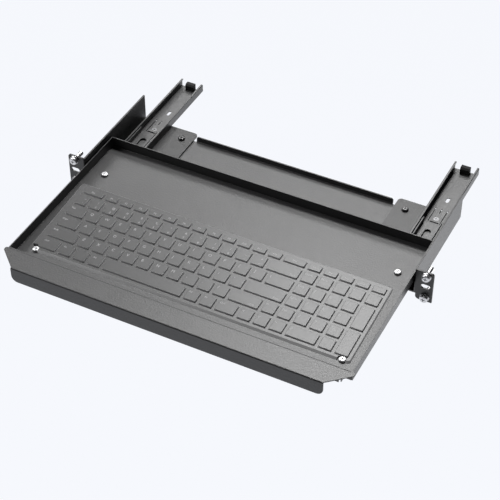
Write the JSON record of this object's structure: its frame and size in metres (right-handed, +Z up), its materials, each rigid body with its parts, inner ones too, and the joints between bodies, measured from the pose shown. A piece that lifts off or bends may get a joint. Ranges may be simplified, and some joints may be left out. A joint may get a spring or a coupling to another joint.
{
  "type": "rack keyboard drawer",
  "caption": "Pull-out keyboard drawer for a nineteen inch rack: steel tray on ball bearing slides between ear brackets, carrying a flat full-size keyboard.",
  "frame": {"origin": "middle of the rack screw pattern, on the back face of the ears, which meets the rack's front", "axes": "+X right as seen from the front, +Y back into the rack, +Z up; the drawer is stored pulled out as in the picture"},
  "size_m": [0.4826, 0.4306, 0.0436],
  "materials": {
    "ball_steel": "polished balls",
    "bracket_paint": "fine textured black powder coat",
    "bright_screw": "nickel plated, polished",
    "cage_steel": "bare strip steel",
    "cross_paint": "fine textured grey powder coat",
    "dark_screw": "grey coated screws",
    "dome_rubber": "pale silicone",
    "film": "clear film",
    "key_plastic": "fine grained grey with pale legends",
    "keyboard_shell": "fine grained grey",
    "rubber": "matt black",
    "slide_steel": "dark grey coated steel, satin",
    "tray_paint": "fine textured grey powder coat",
    "zinc_nut": "zinc plated"
  },
  "bodies": {
    "rack_frame": {"bracket_left": "bracket_paint", "bracket_right": "bracket_paint", "cross_plate": "cross_paint", "cross_plate_screws": "dark_screw", "cross_plate_nuts": "zinc_nut", "slide_outer_left": "slide_steel", "slide_outer_right": "slide_steel", "slide_bumpers": "rubber", "slide_screws": "bright_screw", "slide_nuts": "zinc_nut", "rack_screws": "bright_screw", "cup_washers": "bright_screw"},
    "middle_left": {"slide_middle_left": "slide_steel"},
    "middle_right": {"slide_middle_right": "slide_steel"},
    "outer_cage_left": {"outer_cage_left": "cage_steel", "outer_balls_left": "ball_steel"},
    "outer_cage_right": {"outer_cage_right": "cage_steel", "outer_balls_right": "ball_steel"},
    "inner_cage_left": {"inner_cage_left": "cage_steel", "inner_balls_left": "ball_steel"},
    "inner_cage_right": {"inner_cage_right": "cage_steel", "inner_balls_right": "ball_steel"},
    "drawer": {"tray": "tray_paint", "slide_inner_left": "slide_steel", "slide_inner_right": "slide_steel", "tray_screws": "bright_screw", "keyboard_base": "keyboard_shell", "keyboard_deck": "keyboard_shell", "keyboard_feet": "rubber", "circuit_sheet": "film", "dome_sheet": "dome_rubber"},
    "escape_key": {"escape_key": "key_plastic"},
    "function_keys": {"function_keys": "key_plastic"},
    "navigation_keys": {"navigation_keys": "key_plastic"},
    "keypad_top_keys": {"keypad_top_keys": "key_plastic"},
    "number_row_keys": {"number_row_keys": "key_plastic"},
    "backspace_key": {"backspace_key": "key_plastic"},
    "keypad_operator_keys": {"keypad_operator_keys": "key_plastic"},
    "tab_key": {"tab_key": "key_plastic"},
    "upper_letter_keys": {"upper_letter_keys": "key_plastic"},
    "backslash_key": {"backslash_key": "key_plastic"},
    "keypad_upper_keys": {"keypad_upper_keys": "key_plastic"},
    "keypad_plus_key": {"keypad_plus_key": "key_plastic"},
    "caps_lock_key": {"caps_lock_key": "key_plastic"},
    "home_letter_keys": {"home_letter_keys": "key_plastic"},
    "enter_key": {"enter_key": "key_plastic"},
    "keypad_middle_keys": {"keypad_middle_keys": "key_plastic"},
    "left_shift_key": {"left_shift_key": "key_plastic"},
    "lower_letter_keys": {"lower_letter_keys": "key_plastic"},
    "right_shift_key": {"right_shift_key": "key_plastic"},
    "arrow_keys": {"arrow_keys": "key_plastic"},
    "keypad_lower_keys": {"keypad_lower_keys": "key_plastic"},
    "keypad_enter_key": {"keypad_enter_key": "key_plastic"},
    "left_control_key": {"left_control_key": "key_plastic"},
    "bottom_left_keys": {"bottom_left_keys": "key_plastic"},
    "space_bar": {"space_bar": "key_plastic"},
    "bottom_right_keys": {"bottom_right_keys": "key_plastic"},
    "keypad_zero_key": {"keypad_zero_key": "key_plastic"},
    "keypad_point_key": {"keypad_point_key": "key_plastic"}
  },
  "joints": [
    {"name": "drawer_slide", "type": "slide", "parent": "rack_frame", "child": "drawer", "axis": [0, 1, 0], "range_m": [-0.06, 0.168]},
    {"name": "middle_left_slide", "type": "slide", "parent": "rack_frame", "child": "middle_left", "axis": [0, 1, 0], "range_m": [-0.03, 0.084]},
    {"name": "outer_cage_left_slide", "type": "slide", "parent": "rack_frame", "child": "outer_cage_left", "axis": [0, 1, 0], "range_m": [-0.015, 0.042]},
    {"name": "inner_cage_left_slide", "type": "slide", "parent": "rack_frame", "child": "inner_cage_left", "axis": [0, 1, 0], "range_m": [-0.045, 0.126]},
    {"name": "middle_right_slide", "type": "slide", "parent": "rack_frame", "child": "middle_right", "axis": [0, 1, 0], "range_m": [-0.03, 0.084]},
    {"name": "outer_cage_right_slide", "type": "slide", "parent": "rack_frame", "child": "outer_cage_right", "axis": [0, 1, 0], "range_m": [-0.015, 0.042]},
    {"name": "inner_cage_right_slide", "type": "slide", "parent": "rack_frame", "child": "inner_cage_right", "axis": [0, 1, 0], "range_m": [-0.045, 0.126]},
    {"name": "escape_key_press", "type": "slide", "parent": "drawer", "child": "escape_key", "axis": [0, 0.0689, -0.9976], "range_m": [0, 0.0012], "stiffness_N_per_m": 300, "springref_m": -0.001},
    {"name": "function_keys_press", "type": "slide", "parent": "drawer", "child": "function_keys", "axis": [0, 0.0689, -0.9976], "range_m": [0, 0.0012], "stiffness_N_per_m": 3900, "springref_m": -0.001},
    {"name": "navigation_keys_press", "type": "slide", "parent": "drawer", "child": "navigation_keys", "axis": [0, 0.0689, -0.9976], "range_m": [0, 0.0012], "stiffness_N_per_m": 1500, "springref_m": -0.001},
    {"name": "keypad_top_keys_press", "type": "slide", "parent": "drawer", "child": "keypad_top_keys", "axis": [0, 0.0689, -0.9976], "range_m": [0, 0.0012], "stiffness_N_per_m": 1200, "springref_m": -0.001},
    {"name": "number_row_keys_press", "type": "slide", "parent": "drawer", "child": "number_row_keys", "axis": [0, 0.0689, -0.9976], "range_m": [0, 0.0012], "stiffness_N_per_m": 3900, "springref_m": -0.001},
    {"name": "backspace_key_press", "type": "slide", "parent": "drawer", "child": "backspace_key", "axis": [0, 0.0689, -0.9976], "range_m": [0, 0.0012], "stiffness_N_per_m": 300, "springref_m": -0.001},
    {"name": "keypad_operator_keys_press", "type": "slide", "parent": "drawer", "child": "keypad_operator_keys", "axis": [0, 0.0689, -0.9976], "range_m": [0, 0.0012], "stiffness_N_per_m": 1200, "springref_m": -0.001},
    {"name": "tab_key_press", "type": "slide", "parent": "drawer", "child": "tab_key", "axis": [0, 0.0689, -0.9976], "range_m": [0, 0.0012], "stiffness_N_per_m": 300, "springref_m": -0.001},
    {"name": "upper_letter_keys_press", "type": "slide", "parent": "drawer", "child": "upper_letter_keys", "axis": [0, 0.0689, -0.9976], "range_m": [0, 0.0012], "stiffness_N_per_m": 3600, "springref_m": -0.001},
    {"name": "backslash_key_press", "type": "slide", "parent": "drawer", "child": "backslash_key", "axis": [0, 0.0689, -0.9976], "range_m": [0, 0.0012], "stiffness_N_per_m": 300, "springref_m": -0.001},
    {"name": "keypad_upper_keys_press", "type": "slide", "parent": "drawer", "child": "keypad_upper_keys", "axis": [0, 0.0689, -0.9976], "range_m": [0, 0.0012], "stiffness_N_per_m": 900, "springref_m": -0.001},
    {"name": "keypad_plus_key_press", "type": "slide", "parent": "drawer", "child": "keypad_plus_key", "axis": [0, 0.0689, -0.9976], "range_m": [0, 0.0012], "stiffness_N_per_m": 300, "springref_m": -0.001},
    {"name": "caps_lock_key_press", "type": "slide", "parent": "drawer", "child": "caps_lock_key", "axis": [0, 0.0689, -0.9976], "range_m": [0, 0.0012], "stiffness_N_per_m": 300, "springref_m": -0.001},
    {"name": "home_letter_keys_press", "type": "slide", "parent": "drawer", "child": "home_letter_keys", "axis": [0, 0.0689, -0.9976], "range_m": [0, 0.0012], "stiffness_N_per_m": 3300, "springref_m": -0.001},
    {"name": "enter_key_press", "type": "slide", "parent": "drawer", "child": "enter_key", "axis": [0, 0.0689, -0.9976], "range_m": [0, 0.0012], "stiffness_N_per_m": 300, "springref_m": -0.001},
    {"name": "keypad_middle_keys_press", "type": "slide", "parent": "drawer", "child": "keypad_middle_keys", "axis": [0, 0.0689, -0.9976], "range_m": [0, 0.0012], "stiffness_N_per_m": 900, "springref_m": -0.001},
    {"name": "left_shift_key_press", "type": "slide", "parent": "drawer", "child": "left_shift_key", "axis": [0, 0.0689, -0.9976], "range_m": [0, 0.0012], "stiffness_N_per_m": 300, "springref_m": -0.001},
    {"name": "lower_letter_keys_press", "type": "slide", "parent": "drawer", "child": "lower_letter_keys", "axis": [0, 0.0689, -0.9976], "range_m": [0, 0.0012], "stiffness_N_per_m": 3000, "springref_m": -0.001},
    {"name": "right_shift_key_press", "type": "slide", "parent": "drawer", "child": "right_shift_key", "axis": [0, 0.0689, -0.9976], "range_m": [0, 0.0012], "stiffness_N_per_m": 300, "springref_m": -0.001},
    {"name": "arrow_keys_press", "type": "slide", "parent": "drawer", "child": "arrow_keys", "axis": [0, 0.0689, -0.9976], "range_m": [0, 0.0012], "stiffness_N_per_m": 1200, "springref_m": -0.001},
    {"name": "keypad_lower_keys_press", "type": "slide", "parent": "drawer", "child": "keypad_lower_keys", "axis": [0, 0.0689, -0.9976], "range_m": [0, 0.0012], "stiffness_N_per_m": 900, "springref_m": -0.001},
    {"name": "keypad_enter_key_press", "type": "slide", "parent": "drawer", "child": "keypad_enter_key", "axis": [0, 0.0689, -0.9976], "range_m": [0, 0.0012], "stiffness_N_per_m": 300, "springref_m": -0.001},
    {"name": "left_control_key_press", "type": "slide", "parent": "drawer", "child": "left_control_key", "axis": [0, 0.0689, -0.9976], "range_m": [0, 0.0012], "stiffness_N_per_m": 300, "springref_m": -0.001},
    {"name": "bottom_left_keys_press", "type": "slide", "parent": "drawer", "child": "bottom_left_keys", "axis": [0, 0.0689, -0.9976], "range_m": [0, 0.0012], "stiffness_N_per_m": 900, "springref_m": -0.001},
    {"name": "space_bar_press", "type": "slide", "parent": "drawer", "child": "space_bar", "axis": [0, 0.0689, -0.9976], "range_m": [0, 0.0012], "stiffness_N_per_m": 300, "springref_m": -0.001},
    {"name": "bottom_right_keys_press", "type": "slide", "parent": "drawer", "child": "bottom_right_keys", "axis": [0, 0.0689, -0.9976], "range_m": [0, 0.0012], "stiffness_N_per_m": 900, "springref_m": -0.001},
    {"name": "keypad_zero_key_press", "type": "slide", "parent": "drawer", "child": "keypad_zero_key", "axis": [0, 0.0689, -0.9976], "range_m": [0, 0.0012], "stiffness_N_per_m": 300, "springref_m": -0.001},
    {"name": "keypad_point_key_press", "type": "slide", "parent": "drawer", "child": "keypad_point_key", "axis": [0, 0.0689, -0.9976], "range_m": [0, 0.0012], "stiffness_N_per_m": 300, "springref_m": -0.001}
  ],
  "couplings": [
    {"joint": "middle_left_slide", "follows": "drawer_slide", "ratio": 0.5},
    {"joint": "outer_cage_left_slide", "follows": "drawer_slide", "ratio": 0.25},
    {"joint": "inner_cage_left_slide", "follows": "drawer_slide", "ratio": 0.75},
    {"joint": "middle_right_slide", "follows": "drawer_slide", "ratio": 0.5},
    {"joint": "outer_cage_right_slide", "follows": "drawer_slide", "ratio": 0.25},
    {"joint": "inner_cage_right_slide", "follows": "drawer_slide", "ratio": 0.75}
  ]
}
